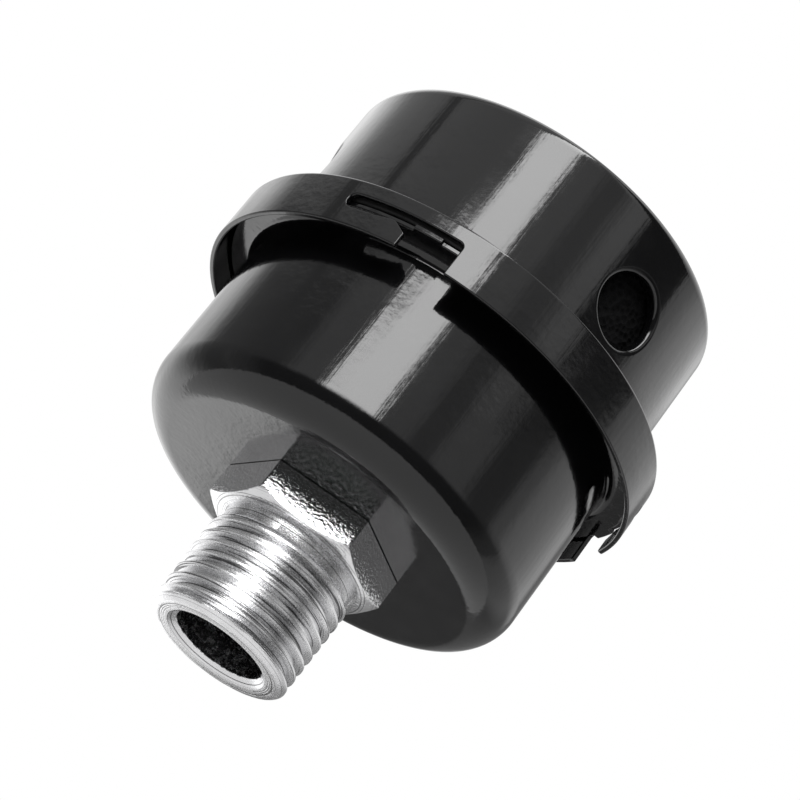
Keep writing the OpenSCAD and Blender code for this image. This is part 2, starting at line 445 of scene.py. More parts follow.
def thread_recipe():
    """A tapered thread that rises from a rounded nose and runs out on the neck."""
    numbers = ("Length", "Pitch", "Crest", "Depth", "Taper", "Nose", "Nose Length", "Neck")
    tree = Recipe("Pipe thread", numbers, ("Turns", "Columns"))
    rows = tree.math("MULTIPLY_ADD", tree["Turns"], THREAD_ROWS_PER_PITCH, 1)
    mesh, u, v = tree.grid(rows, tree.math("ADD", tree["Columns"], 1))
    turns = tree.math("MULTIPLY", u, tree["Turns"])
    climb = tree.math("SUBTRACT", tree.math("ADD", turns, v), 1)
    z = tree.math("MULTIPLY", climb, tree["Pitch"])
    z = tree.math("MINIMUM", tree.math("MAXIMUM", z, 0), tree["Length"])
    off_crest = tree.math("ABSOLUTE", tree.math("SUBTRACT", tree.math("FRACT", turns), 0.5))
    share = tree.math("MULTIPLY", tree.math("SUBTRACT", off_crest, FLAT_SHARE / 2), 1 / (0.5 - FLAT_SHARE))
    share = tree.math("MINIMUM", tree.math("MAXIMUM", share, 0), 1)
    left = tree.math("SUBTRACT", tree["Length"], z)
    full = tree.math("MULTIPLY", tree.fade(z, 0.6 * MM, 1.6 * MM), tree.fade(left, 0.1 * MM, 1.3 * MM))
    cut = tree.math("MULTIPLY", tree.math("MULTIPLY", share, tree["Depth"]), full)
    crest = tree.math("SUBTRACT", tree["Crest"], tree.math("MULTIPLY", left, tree["Taper"]))
    radius = tree.math("SUBTRACT", crest, cut)
    run_out = tree.fade(left, 0, 0.6 * MM)
    over_neck = tree.math("SUBTRACT", radius, tree["Neck"])
    radius = tree.math("ADD", tree["Neck"], tree.math("MULTIPLY", over_neck, run_out))
    way = tree.math("MINIMUM", tree.math("DIVIDE", z, tree["Nose Length"]), 1)
    rest = tree.math("POWER", tree.math("SUBTRACT", 1, way), 2)
    swell = tree.math("SQRT", tree.math("SUBTRACT", 1, rest))
    over_nose = tree.math("SUBTRACT", tree["Crest"], tree["Nose"])
    nose = tree.math("MULTIPLY_ADD", over_nose, swell, tree["Nose"])
    radius = tree.math("MINIMUM", radius, nose)
    tree.end(tree.wrapped(mesh, radius, tree.math("MULTIPLY", v, TAU), z))
    return tree


def pleat_recipe():
    """Paper folded into pleats round a tube: four runs of points closed on themselves."""
    tree = Recipe("Pleated paper", ("Bottom", "Top", "Inner", "Outer", "Wall"), ("Pleats",))
    per_pleat = 12
    along = tree.math("MULTIPLY_ADD", tree["Pleats"], per_pleat, 1)
    mesh, u, v = tree.grid(5, along)
    corner = tree.math("ROUND", tree.math("MULTIPLY", u, 4))
    wave = tree.math("COSINE", tree.math("MULTIPLY", tree.math("MULTIPLY", v, tree["Pleats"]), TAU))
    fold = tree.math("DIVIDE", tree.math("ARCSINE", tree.math("MULTIPLY", wave, 0.985)), math.pi / 2)
    reach = tree.math("SUBTRACT", tree.math("SUBTRACT", tree["Outer"], tree["Wall"]), tree["Inner"])
    middle = tree.math("MULTIPLY_ADD", tree.math("MULTIPLY_ADD", fold, 0.5, 0.5), reach, tree["Inner"])
    back = tree.math("LESS_THAN", tree.math("ABSOLUTE", tree.math("SUBTRACT", corner, 2.5)), 1)
    front = tree.math("SUBTRACT", 1, back)
    radius = tree.math("MULTIPLY_ADD", front, tree["Wall"], middle)
    high = tree.math("LESS_THAN", tree.math("ABSOLUTE", tree.math("SUBTRACT", corner, 1.5)), 1)
    rise = tree.math("SUBTRACT", tree["Top"], tree["Bottom"])
    z = tree.math("MULTIPLY_ADD", high, rise, tree["Bottom"])
    tree.end(tree.wrapped(mesh, radius, tree.math("MULTIPLY", v, TAU), z))
    return tree


def perforated_recipe():
    """A tube with rows of round holes, and with a wall of real thickness."""
    numbers = ("Bottom", "Top", "Radius", "Wall", "Hole Share")
    tree = Recipe("Perforated tube", numbers, ("Rows", "Columns"))
    rows, columns = (tree.math("ADD", tree[key], 1) for key in ("Rows", "Columns"))
    mesh, _, _ = tree.grid(rows, columns)
    inset = tree.node("GeometryNodeExtrudeMesh", {"Mesh": mesh, "Offset Scale": 0.0, "Individual": True})
    shrunk = tree.node(
        "GeometryNodeScaleElements",
        {"Geometry": inset.outputs["Mesh"], "Selection": inset.outputs["Top"], "Scale": tree["Hole Share"]},
    )
    open_mesh = tree.node(
        "GeometryNodeDeleteGeometry",
        {"Geometry": shrunk.outputs[0], "Selection": inset.outputs["Top"]},
        domain="FACE",
    )
    smooth = tree.node(
        "GeometryNodeSubdivisionSurface",
        {"Mesh": tree.welded(open_mesh.outputs[0]), "Level": 1},
        boundary_smooth="PRESERVE_CORNERS",
    )
    place = tree.node("GeometryNodeInputPosition", {}).outputs[0]
    parts = tree.node("ShaderNodeSeparateXYZ", {0: place}).outputs
    u, v = (tree.math("ADD", parts[k], 0.5) for k in (0, 1))
    rise = tree.math("SUBTRACT", tree["Top"], tree["Bottom"])
    z = tree.math("MULTIPLY_ADD", u, rise, tree["Bottom"])
    tube = tree.wrapped(smooth.outputs[0], tree["Radius"], tree.math("MULTIPLY", v, TAU), z)
    parts = tree.node("ShaderNodeSeparateXYZ", {0: place}).outputs
    flat = tree.node("ShaderNodeCombineXYZ", {"X": parts[0], "Y": parts[1], "Z": 0.0}).outputs[0]
    out = tree.node("ShaderNodeVectorMath", {0: flat}, operation="NORMALIZE").outputs[0]
    wall = tree.node(
        "GeometryNodeExtrudeMesh",
        {"Mesh": tube, "Offset": out, "Offset Scale": tree["Wall"], "Individual": False},
    )
    both = tree.tree.nodes.new("GeometryNodeJoinGeometry")
    tree.tree.links.new(wall.outputs["Mesh"], both.inputs[0])
    tree.tree.links.new(tube, both.inputs[0])
    tree.end(tree.welded(both.outputs[0]))
    return tree


# ---- Finishes ---------------------------------------------------------------


class Finish:
    """A material whose colour, roughness and bump come from patterns on Object coordinates."""

    def __init__(self, name, **sockets):
        self.material = bpy.data.materials.new(name)
        self.material.use_nodes = True
        self.tree = self.material.node_tree
        self.shader = self.tree.nodes["Principled BSDF"]
        for key, value in sockets.items():
            self.shader.inputs[key.replace("_", " ")].default_value = value
        self.where = self.tree.nodes.new("ShaderNodeTexCoord").outputs["Object"]
        self.normal = None

    def node(self, kind, inputs, **settings):
        node = self.tree.nodes.new(kind)
        for key, value in settings.items():
            setattr(node, key, value)
        for key, value in inputs.items():
            if isinstance(value, bpy.types.NodeSocket):
                self.tree.links.new(value, node.inputs[key])
            else:
                node.inputs[key].default_value = value
        return node

    def stretched(self, scale):
        inputs = {"Vector": self.where, "Scale": scale}
        return self.node("ShaderNodeMapping", inputs).outputs[0]

    def rings(self, scale):
        """Coordinates that are the same all the way round the axis: radius and height."""
        parts = self.node("ShaderNodeSeparateXYZ", {0: self.where}).outputs
        across, deep = (
            self.node("ShaderNodeMath", {0: parts[k], 1: parts[k]}, operation="MULTIPLY") for k in (0, 1)
        )
        total = self.node("ShaderNodeMath", {0: across.outputs[0], 1: deep.outputs[0]})
        radius = self.node("ShaderNodeMath", {0: total.outputs[0], 1: 0.5}, operation="POWER")
        self.radius = radius.outputs[0]
        both = self.node("ShaderNodeCombineXYZ", {"X": radius.outputs[0], "Z": parts[2]})
        return self.node("ShaderNodeMapping", {"Vector": both.outputs[0], "Scale": (scale,) * 3}).outputs[0]

    def noise(self, scale, detail=2.0, vector=None):
        inputs = {"Vector": vector or self.where, "Scale": scale, "Detail": detail}
        return self.node("ShaderNodeTexNoise", inputs).outputs["Fac"]

    def spread(self, value, low, high, start=0.3, end=0.7):
        inputs = {"Value": value, "From Min": start, "From Max": end, "To Min": low, "To Max": high}
        return self.node("ShaderNodeMapRange", inputs).outputs["Result"]

    def roughness(self, value):
        self.tree.links.new(value, self.shader.inputs["Roughness"])

    def bump(self, height, distance, strength=1.0):
        inputs = {"Height": height, "Distance": distance, "Strength": strength}
        if self.normal:
            inputs["Normal"] = self.normal
        self.normal = self.node("ShaderNodeBump", inputs).outputs[0]
        self.tree.links.new(self.normal, self.shader.inputs["Normal"])

    def blend(self, factor, first, second):
        """Base colour between two colours, by a factor from 0 to 1."""
        node = self.node("ShaderNodeMix", {"Factor": factor}, data_type="RGBA")
        for k, value in ((6, first), (7, second)):
            if isinstance(value, bpy.types.NodeSocket):
                self.tree.links.new(value, node.inputs[k])
            else:
                node.inputs[k].default_value = (*value, 1)
        self.tree.links.new(node.outputs[2], self.shader.inputs["Base Color"])
        return node.outputs[2]


def dimmer(value, share):
    return tuple(c * share for c in value)


def gloss_paint(value):
    finish = Finish("black_gloss_paint", IOR=1.5)
    finish.roughness(finish.spread(finish.noise(240, 4), 0.06, 0.12))
    finish.blend(finish.noise(400, 3), value, dimmer(value, 1.6))
    finish.bump(finish.noise(110, 1), 0.00006)
    finish.bump(finish.noise(900, 3), 0.000014)
    finish.bump(finish.noise(1.0, 3, finish.stretched((1500, 1500, 40))), 0.000014)
    return finish.material


# Radius inside which the zinc colour is darkened, as painted shade in the bore.
PAINTED_BORE_SHADE_RADIUS = 6.62 * MM


def zinc_grain(finish, value, low, high, depth, scale):
    """Plate with a fine grain; returns its colour."""
    grain = finish.noise(scale, 3)
    patches = finish.noise(160, 5)
    plate = finish.blend(finish.spread(patches, 0, 1, 0.35, 0.65), value, dimmer(value, 0.85))
    finish.roughness(finish.spread(grain, low, high))
    finish.bump(grain, depth)
    return plate


def turning_lines(finish, depth, share=None):
    """Fine rings left by the tool, faded by a share if one is given; returns where they are dark."""
    lines = finish.noise(1.0, 4, finish.rings(3400))
    fine = finish.noise(1.0, 2, finish.rings(11000))
    dark = finish.spread(lines, 0.9, 0, 0.4, 0.45)
    if share:
        lines, fine, dark = (
            finish.node("ShaderNodeMath", {0: item, 1: share}, operation="MULTIPLY").outputs[0]
            for item in (lines, fine, dark)
        )
    finish.bump(lines, depth)
    finish.bump(fine, depth / 4)
    return dark


def zinc_turned(value):
    """Zinc plate with turning lines, and painted shade darkening the bore out to a speckled edge."""
    finish = Finish("zinc_turned", Metallic=1.0)
    plate = zinc_grain(finish, value, 0.2, 0.32, 0.000015, 5200)
    dark = turning_lines(finish, 0.00005)
    plate = finish.blend(dark, plate, dimmer(value, 0.08))
    # Painted shade: inside the bore the colour turns dark, and the darkened part has a speckled edge.
    shade_edge_specks = finish.spread(finish.noise(1100, 6), 0, 0.4 * MM, 0.5, 0.56)
    reach = finish.node("ShaderNodeMath", {0: finish.radius, 1: shade_edge_specks})
    bore = finish.node("ShaderNodeMath", {0: reach.outputs[0], 1: PAINTED_BORE_SHADE_RADIUS}, operation="LESS_THAN")
    finish.blend(bore.outputs[0], plate, dimmer(value, 0.22))
    return finish.material


def zinc_plate(value):
    """Zinc plate, grained on the sides and turned on the faces across the axis."""
    finish = Finish("zinc_plated_steel", Metallic=1.0)
    plate = zinc_grain(finish, value, 0.08, 0.18, 0.00005, 2600)
    normal = finish.node("ShaderNodeTexCoord", {}).outputs["Normal"]
    along = finish.node("ShaderNodeSeparateXYZ", {0: normal}).outputs[2]
    tilt = finish.node("ShaderNodeMath", {0: along}, operation="ABSOLUTE").outputs[0]
    dark = turning_lines(finish, 0.00004, finish.spread(tilt, 0, 1, 0.25, 0.45))
    finish.blend(dark, plate, dimmer(value, 0.12))
    return finish.material


def tinned_sheet(value):
    finish = Finish("tinned_sheet", Metallic=1.0)
    finish.blend(finish.noise(120, 5), value, dimmer(value, 0.75))
    finish.roughness(finish.spread(finish.noise(260, 4), 0.22, 0.4))
    finish.bump(finish.noise(1.0, 2, finish.rings(2600)), 0.000008)
    return finish.material


def pressed_fibre(value):
    finish = Finish("red_fibre")
    finish.blend(finish.noise(900, 5), value, dimmer(value, 0.6))
    finish.roughness(finish.spread(finish.noise(1500, 3), 0.5, 0.75))
    finish.bump(finish.noise(2200, 4, finish.stretched((1, 1, 4))), 0.00003)
    return finish.material


# Black rubber whose colour is darkened further as painted shade, for the seal seen in the bayonet slots.
def rubber(value):
    finish = Finish("black_rubber", Specular_IOR_Level=0.2)
    finish.blend(finish.noise(300, 4), value, dimmer(value, 2.0))
    finish.roughness(finish.spread(finish.noise(500, 4), 0.45, 0.65))
    finish.bump(finish.noise(2500, 3), 0.00001)
    return finish.material


def wool_felt(value):
    finish = Finish("grey_felt", Roughness=0.95, Sheen_Weight=0.3, Sheen_Roughness=0.5)
    fibres = finish.noise(1400, 6, finish.stretched((1, 1, 2.5)))
    finish.blend(finish.spread(fibres, 0, 1), dimmer(value, 0.55), dimmer(value, 1.35))
    finish.bump(fibres, 0.0003)
    return finish.material


def filter_paper(value):
    finish = Finish("filter_paper", Roughness=0.85)
    creases = finish.noise(900, 5, finish.stretched((1, 1, 3)))
    finish.blend(finish.spread(creases, 0, 1), dimmer(value, 0.82), value)
    finish.bump(creases, 0.0001)
    return finish.material


# Black foam whose colour is darkened further as painted shade, for the dark seen through the air holes; the
# cell pits are darker still.
def open_foam(value):
    finish = Finish("black_foam", Roughness=0.9, Specular_IOR_Level=0.1)
    cells = finish.node("ShaderNodeTexVoronoi", {"Vector": finish.where, "Scale": 1100.0})
    depth = cells.outputs["Distance"]
    finish.blend(finish.spread(depth, 0, 1, 0.1, 0.6), dimmer(value, 0.15), dimmer(value, 0.9))
    finish.bump(depth, 0.0004)
    return finish.material


def pale_floor(value):
    finish = Finish("floor", Roughness=0.7)
    finish.blend(finish.noise(8, 2), value, dimmer(value, 0.98))
    return finish.material


# ---- Cans -------------------------------------------------------------------


def fine_columns(edges):
    """Whole degrees, with closer columns beside each edge on every third of the turn."""
    columns = set(range(TURN))
    for edge in edges:
        for k in range(LUGS):
            for off in (-0.3, -0.18, -0.06, 0.06, 0.18, 0.3):
                columns.add(round((edge + off + k * STEP) % TURN, 4))
    return sorted(columns)


FLOOR_RING_R = 14
FLOOR_OUTER_RING_R = 19
LUG_RAMP = 0.3


def base_can_mesh(can, cut):
    t, e = can.sheet, can.edge
    bottom_z = SEAT_Z
    flange_z = FLANGE_Z - t
    wall_r, curl_r = can.base_radius, can.base_radius - can.base_edge
    curl_z = bottom_z + can.base_edge
    hole_r = can.nipple_hole
    lug_rise = LUG_R - can.flange_radius
    lug_ends = (cut.lug_start, cut.lug_start + cut.lug_arc)
    columns = fine_columns(lug_ends)

    def outline(angle):
        off = (angle - lug_ends[0] + STEP / 2) % STEP - STEP / 2
        into = min(off + LUG_RAMP / 2, cut.lug_arc + LUG_RAMP / 2 - off)
        share = min(max(into / LUG_RAMP, 0), 1)
        return can.flange_radius + lug_rise * share * share * (3 - 2 * share)

    def flange_ring(inset, z, out, up):
        row = []
        for angle in columns:
            r = outline(angle)
            slope = (outline(angle + 0.02) - outline(angle - 0.02)) / math.radians(0.04) / r
            side = 1 / math.hypot(1, slope)
            c, s = turn(angle)
            nr, nt = out * side, -out * side * slope
            at = r - inset
            row.append(((at * c, at * s, z), (nr * c - nt * s, nr * s + nt * c, up)))
        return row

    def edge_rings():
        rings = []
        for c, s in QUARTER_ROUND:
            rings.append(flange_ring(e * (1 - s), flange_z + e * (1 - c), s, -c))
        for c, s in reversed(QUARTER_ROUND):
            rings.append(flange_ring(e * (1 - s), FLANGE_Z - e * (1 - c), s, c))
        return rings

    bend_r, bend_z = wall_r + can.flange_bend, flange_z - can.flange_bend
    outside = [(hole_r, SEAT_Z, 0, -1)]
    outside += [(r, bottom_z, 0, -1) for r in (FLOOR_RING_R, FLOOR_OUTER_RING_R)]
    outside += bend(curl_r, curl_z, can.base_edge, -90, 0, 20)
    outside += bend(bend_r, bend_z, can.flange_bend, 180, 90, 10, hollow=True)
    inside = bend(bend_r, bend_z, can.flange_bend + t, 90, 180, 10)
    inside += bend(curl_r, curl_z, can.base_edge - t, 0, -90, 12, hollow=True)
    inside += [(FLOOR_RING_R, bottom_z + t, 0, 1)]
    inside += [(hole_r, SEAT_Z + t, 0, 1)]
    skin = Skin()
    rings = [ring(columns, *p) for p in outside] + edge_rings()
    rings += [ring(columns, *p) for p in inside]
    skin.lathe(rings + rings[:1])
    return skin.mesh("base_can_painted")


def inside_path(x, y, path):
    hit = False
    for (x0, y0), (x1, y1) in zip(path, path[1:] + path[:1]):
        if (y0 > y) != (y1 > y) and x < x0 + (y - y0) * (x1 - x0) / (y1 - y0):
            hit = not hit
    return hit


def filled(outline, holes, inner):
    """Triangles that fill an outline with holes, through the inner points given."""
    loops = [outline] + holes
    points = [p for loop in loops for p in loop]
    edges, start = [], 0
    for loop in loops:
        count = len(loop)
        edges += [(start + i, start + (i + 1) % count) for i in range(count)]
        start += count
    clear = 0.28
    for p in inner:
        if not inside_path(*p, outline) or any(inside_path(*p, hole) for hole in holes):
            continue
        if all(math.dist(p, q) > clear for q in points[:start]):
            points.append(p)
    made = delaunay_2d_cdt([Vector(p) for p in points], edges, [], 0, 1e-5)
    source = [origin[0] if origin else None for origin in made[3]]
    triangles = []
    for face in made[2]:
        ids = [source[i] for i in face]
        if None in ids:
            raise RuntimeError("an outline of the cap crosses itself")
        x, y = (sum(points[i][k] for i in ids) / 3 for k in (0, 1))
        if inside_path(x, y, outline) and not any(inside_path(x, y, h) for h in holes):
            triangles.append(ids)
    return points, triangles


def inset_path(path, distance):
    """An open path moved to its left, and the direction to its left at each point."""
    moved, sides = [], []
    for i, p in enumerate(path):
        normals = []
        for a, b in ((i - 1, i), (i, i + 1)):
            if a >= 0 and b < len(path):
                dx, dy = path[b][0] - path[a][0], path[b][1] - path[a][1]
                size = math.hypot(dx, dy)
                normals.append((-dy / size, dx / size))
        nx, ny = sum(n[0] for n in normals), sum(n[1] for n in normals)
        scale = len(normals) / max(nx * nx + ny * ny, 0.4)
        moved.append((p[0] + nx * scale * distance, p[1] + ny * scale * distance))
        sides.append(unit((nx, ny)))
    return moved, sides


def sampled(points, step):
    """A path through points, with extra points no further apart than step."""
    result = [points[0]]
    for a, b in zip(points, points[1:]):
        count = max(1, math.ceil(math.dist(a, b) / step))
        result += [tuple(p + (q - p) * k / count for p, q in zip(a, b)) for k in range(1, count + 1)]
    return result


def corner_arc(x, y, radius, start, end, steps=8):
    arc = []
    for k in range(steps + 1):
        c, s = turn(start + (end - start) * k / steps)
        arc.append((x + radius * c, y + radius * s))
    return arc


COLLAR_SEAM = -175
WALL_SEAM = -117
HOLE_POINTS = 96
HOLE_ROLL_ROWS = 8
WALL_LEVELS = 18
HOLE_RIM_WIDTH = 0.55
HOLE_RIM_ROUND = 0.12


def bayonet_path(cut, r):
    """The collar's lower edge over one third of the turn, in mm along the collar and up."""
    middle = (cut.slot_closed + cut.slot_open) / 2

    def along(angle):
        return r * math.radians(angle)

    def flat(angle):
        return r * math.sin(math.radians(angle - middle))

    def wrap(x, y):
        return along(middle + math.degrees(math.asin(x / r))), y

    low = COLLAR_Z
    floor = FLANGE_Z - cut.slot_drop
    top = floor + cut.slot_height
    round_end = cut.slot_height / 2
    tip = floor + cut.tongue_rise
    soft = 0.22
    notch_corner = 0.7
    bend_rise = 0.12
    blunt = 0.12
    closed, far, near = flat(cut.slot_closed), flat(cut.slot_open), flat(cut.notch_side)
    shape = corner_arc(near - soft, low + soft, soft, -90, 0, 4)
    shape += corner_arc(near - soft, tip - cut.tongue_slope - soft * 0.6, soft, 0, 55, 4)
    shape += [(flat(cut.tongue_tip) + blunt, tip - 0.05), (flat(cut.tongue_tip) - blunt, tip)]
    shape += [(flat(cut.tongue_bend), floor + bend_rise)]
    shape += corner_arc(closed + round_end, floor + round_end, round_end, -90, -270, 16)
    shape += corner_arc(far - notch_corner, top - notch_corner, notch_corner, 90, 0, 8)
    shape += corner_arc(far + soft, low + soft, soft, 180, 270, 4)
    cut_edge = [wrap(*p) for p in sampled(shape, 0.4)]
    first = math.floor(math.degrees(cut_edge[0][0] / r))
    last = math.ceil(math.degrees(cut_edge[-1][0] / r))
    before = [(along(a), low) for a in range(COLLAR_SEAM, first)]
    after = [(along(a), low) for a in range(last + 1, COLLAR_SEAM + STEP + 1)]
    return before + cut_edge + after


def add_collar(skin, can, cut):
    """The collar's two faces and its cut lower edge, three times round."""
    e, r_out = can.edge, COLLAR_R
    r_in = r_out - can.sheet
    path = bayonet_path(cut, r_out)
    edge, _ = inset_path(path, e)
    bend_z = COLLAR_Z + can.collar_height - can.collar_bend
    inner_top = COLLAR_Z + can.collar_height - can.sheet - LEDGE_INNER_BEND
    levels = [COLLAR_Z + 0.55 * k for k in range(1, 12)]
    seam = [r_out * math.radians(a) for a in (COLLAR_SEAM, COLLAR_SEAM + STEP)]
    outline = list(edge)
    outline += [(seam[1], z) for z in levels]
    outline += [(r_out * math.radians(COLLAR_SEAM + a), bend_z) for a in range(STEP, -1, -1)]
    outline += [(seam[0], z) for z in reversed(levels)]
    inner = [
        (r_out * math.radians(COLLAR_SEAM + a), z) for a in range(1, STEP) for z in levels
    ]
    points, triangles = filled(outline, [], inner)

    def spot(p, r, turn_by):
        c, s = turn(math.degrees(p[0] / r_out) + turn_by)
        return (r * c, r * s, p[1]), c, s

    for k in range(LUGS):
        faces = []
        for r, side in ((r_out, 1), (r_in, -1)):
            ids = []
            for x, z in points:
                z = min(z, inner_top) if side < 0 else z
                place, c, s = spot((x, z), r, k * STEP)
                ids.append(skin.point(place, (side * c, side * s, 0)))
            for triangle in triangles:
                skin.face([ids[i] for i in triangle])
            faces.append(ids)
        rows = [(e * (1 - s), r_out - e * (1 - c), c, s) for c, s in QUARTER_ROUND]
        rows += [(e * (1 - s), r_in + e * (1 - c), -c, s) for c, s in reversed(QUARTER_ROUND)]
        rings = []
        for inset, r, radial, outward in rows:
            line, sides = inset_path(path, inset)
            row = []
            for p, side in zip(line, sides):
                place, c, s = spot(p, r, k * STEP)
                along, up = -side[0] * outward, -side[1] * outward
                row.append((place, (radial * c - along * s, radial * s + along * c, up)))
            rings.append(row)
        skin.lathe(rings, closed=False)


def add_wall(skin, can, cut, low_z, high_z):
    """The cap's wall with its air holes, and their rolled-in rims."""
    r_out = can.cap_radius
    r_in = r_out - can.sheet
    shoulder = cut.hole_radius + cut.hole_shoulder
    centre_z = COLLAR_Z + can.collar_height + cut.hole_height
    round_hole = [turn(k * TURN / HOLE_POINTS) for k in range(HOLE_POINTS)]

    def loop(radius):
        return [
            (r_out * (math.radians(cut.hole_side) + math.asin(radius * c / r_out)), centre_z + radius * s)
            for c, s in round_hole
        ]

    levels = [low_z + (high_z - low_z) * k / WALL_LEVELS for k in range(1, WALL_LEVELS)]
    seam = [r_out * math.radians(a) for a in (WALL_SEAM, WALL_SEAM + STEP)]
    outline = [(r_out * math.radians(WALL_SEAM + a), low_z) for a in range(STEP + 1)]
    outline += [(seam[1], z) for z in levels]
    outline += [(r_out * math.radians(WALL_SEAM + a), high_z) for a in range(STEP, -1, -1)]
    outline += [(seam[0], z) for z in reversed(levels)]
    inner = [(r_out * math.radians(WALL_SEAM + a), z) for a in range(1, STEP) for z in levels]
    points, triangles = filled(outline, [loop(shoulder)], inner)
    for k in range(LUGS):
        for r, side in ((r_out, 1), (r_in, -1)):
            ids = []
            for x, z in points:
                c, s = turn(math.degrees(x / r_out) + k * STEP)
                ids.append(skin.point((r * c, r * s, z), (side * c, side * s, 0)))
            for triangle in triangles:
                skin.face([ids[i] for i in triangle])
        ca, sa = turn(cut.hole_side + k * STEP)

        def spot(x, y, z):
            return x * ca - y * sa, x * sa + y * ca, z

        rings = []
        roll = cut.hole_shoulder
        end_x = r_out - cut.hole_depth
        first = []
        for (x, z), (c, s) in zip(loop(shoulder), round_hole):
            cx, sx = turn(math.degrees(x / r_out) + k * STEP)
            first.append(((r_out * cx, r_out * sx, z), (cx, sx, 0)))
        rings.append(first)
        for q in range(1, HOLE_ROLL_ROWS + 1):
            cq, sq = turn(q * 90 / HOLE_ROLL_ROWS)
            row = []
            radius = cut.hole_radius + roll * (1 - sq)
            for c, s in round_hole:
                y, z = radius * c, radius * s
                x = math.sqrt(r_out * r_out - y * y) - roll * (1 - cq)
                lean = y / r_out
                normal = (cq, cq * lean - sq * c, -sq * s)
                row.append((spot(x, y, centre_z + z), spot(*normal)))
            rings.append(row)
        lip = HOLE_RIM_ROUND
        for cq, sq in QUARTER_ROUND:
            radius = cut.hole_radius + lip * (1 - cq)
            x = end_x + lip * (1 - sq)
            rings.append(
                [
                    (spot(x, radius * c, centre_z + radius * s), spot(-sq, -cq * c, -cq * s))
                    for c, s in round_hole
                ]
            )
        back = cut.hole_radius + HOLE_RIM_WIDTH
        for cq, sq in QUARTER_ROUND:
            radius = back - lip * (1 - sq)
            x = end_x + lip * (1 - cq)
            rings.append(
                [
                    (spot(x, radius * c, centre_z + radius * s), spot(-cq, sq * c, sq * s))
                    for c, s in round_hole
                ]
            )
        last = []
        for x, z in loop(shoulder):
            cx, sx = turn(math.degrees(x / r_out) + k * STEP)
            last.append(((r_in * cx, r_in * sx, z), (-cx, -sx, 0)))
        rings.append(last)
        skin.lathe(rings)


CROWN_RINGS = (20, 10, 2, 0)
LEDGE_INNER_BEND = 0.1


def cap_can_mesh(can, cut):
    t = can.sheet
    ledge_z = COLLAR_Z + can.collar_height
    wall_low = ledge_z + can.ledge_bend
    wall_high = TOP_Z - can.cap_edge
    columns = list(range(TURN))
    crown_r = can.cap_radius - can.cap_edge
    skin = Skin()
    add_wall(skin, can, cut, wall_low, wall_high)
    add_collar(skin, can, cut)
    top = bend(crown_r, wall_high, can.cap_edge, 0, 90, 14)
    top += [(r, TOP_Z, 0, 1) for r in CROWN_RINGS]
    under = bend(crown_r, wall_high, can.cap_edge - t, 0, 90, 10, hollow=True)
    under += [(r, TOP_Z - t, 0, -1) for r in CROWN_RINGS]
    foot_r = can.cap_radius + can.ledge_bend
    ledge = bend(foot_r, wall_low, can.ledge_bend, 180, 270, 8, hollow=True)
    ledge += bend(COLLAR_R - can.collar_bend, ledge_z - can.collar_bend, can.collar_bend, 90, 0, 10)
    below = bend(foot_r, wall_low, can.ledge_bend + t, 180, 270, 8)
    inner_bend = LEDGE_INNER_BEND
    below += bend(COLLAR_R - t - inner_bend, ledge_z - t - inner_bend, inner_bend, 90, 0, 3, hollow=True)
    for section in (top, under, ledge, below):
        skin.lathe([ring(columns, *p) for p in section])
    return skin.mesh("cap_can_painted")


# ---- Nipple and its clamp ---------------------------------------------------

NIPPLE_COLUMNS = 240
HEX_BROKEN_CORNER = 0.07
HEX_BROKEN_EDGE = 0.09
HEX_SEAT_EDGE = 0.12


def hexagon_mesh(name, flats, corner, hole_r, z0, z1, dome_r, face_r, both_ends=False):
    """A hexagon ring with its ends turned to a shallow dome and its edges just broken."""
    columns = set(k * TURN / NIPPLE_COLUMNS for k in range(NIPPLE_COLUMNS))
    for k in range(6):
        for off in (-1.0, -0.5, 0.0, 0.5, 1.0):
            columns.add(round((corner + 60 * k + off) % TURN, 4))
    columns = sorted(columns)
    blunt = flats / 2 / math.cos(math.radians(30)) - HEX_BROKEN_CORNER
    drop = math.sqrt(dome_r**2 - face_r**2)
    skin = Skin()

    def reach(angle):
        off = (angle - corner) % 60 - 30
        return min(flats / 2 / math.cos(math.radians(off)), blunt)

    def fall(r):
        return max(0.0, drop - math.sqrt(dome_r**2 - r**2))

    def row(radius, height):
        points = []
        for angle in columns:
            r = radius(reach(angle))
            c, s = turn(angle)
            points.append(((r * c, r * s, height(r, reach(angle))), (c, s, 0)))
        return points

    broken = HEX_BROKEN_EDGE

    def end_rows(z, up):
        rows = [row(lambda full: hole_r, lambda r, full: z), row(lambda full: face_r, lambda r, full: z)]
        for share in (0.35, 0.7, 1.0):
            rows.append(
                row(
                    lambda full, share=share: face_r + (full - broken - face_r) * share,
                    lambda r, full: z - up * fall(r),
                )
            )
        rows.append(row(lambda full: full, lambda r, full: z - up * (fall(full) + broken)))
        return rows

    rings = end_rows(z0, -1)
    if both_ends:
        rings += reversed(end_rows(z1, 1))
    else:
        rings.append(row(lambda full: full, lambda r, full: z1 - HEX_SEAT_EDGE))
        rings.append(row(lambda full: full - HEX_SEAT_EDGE, lambda r, full: z1))
        rings.append(row(lambda full: hole_r, lambda r, full: z1))
    skin.lathe(rings + rings[:1])
    return finish_mesh(skin.mesh(name, own_normals=False))


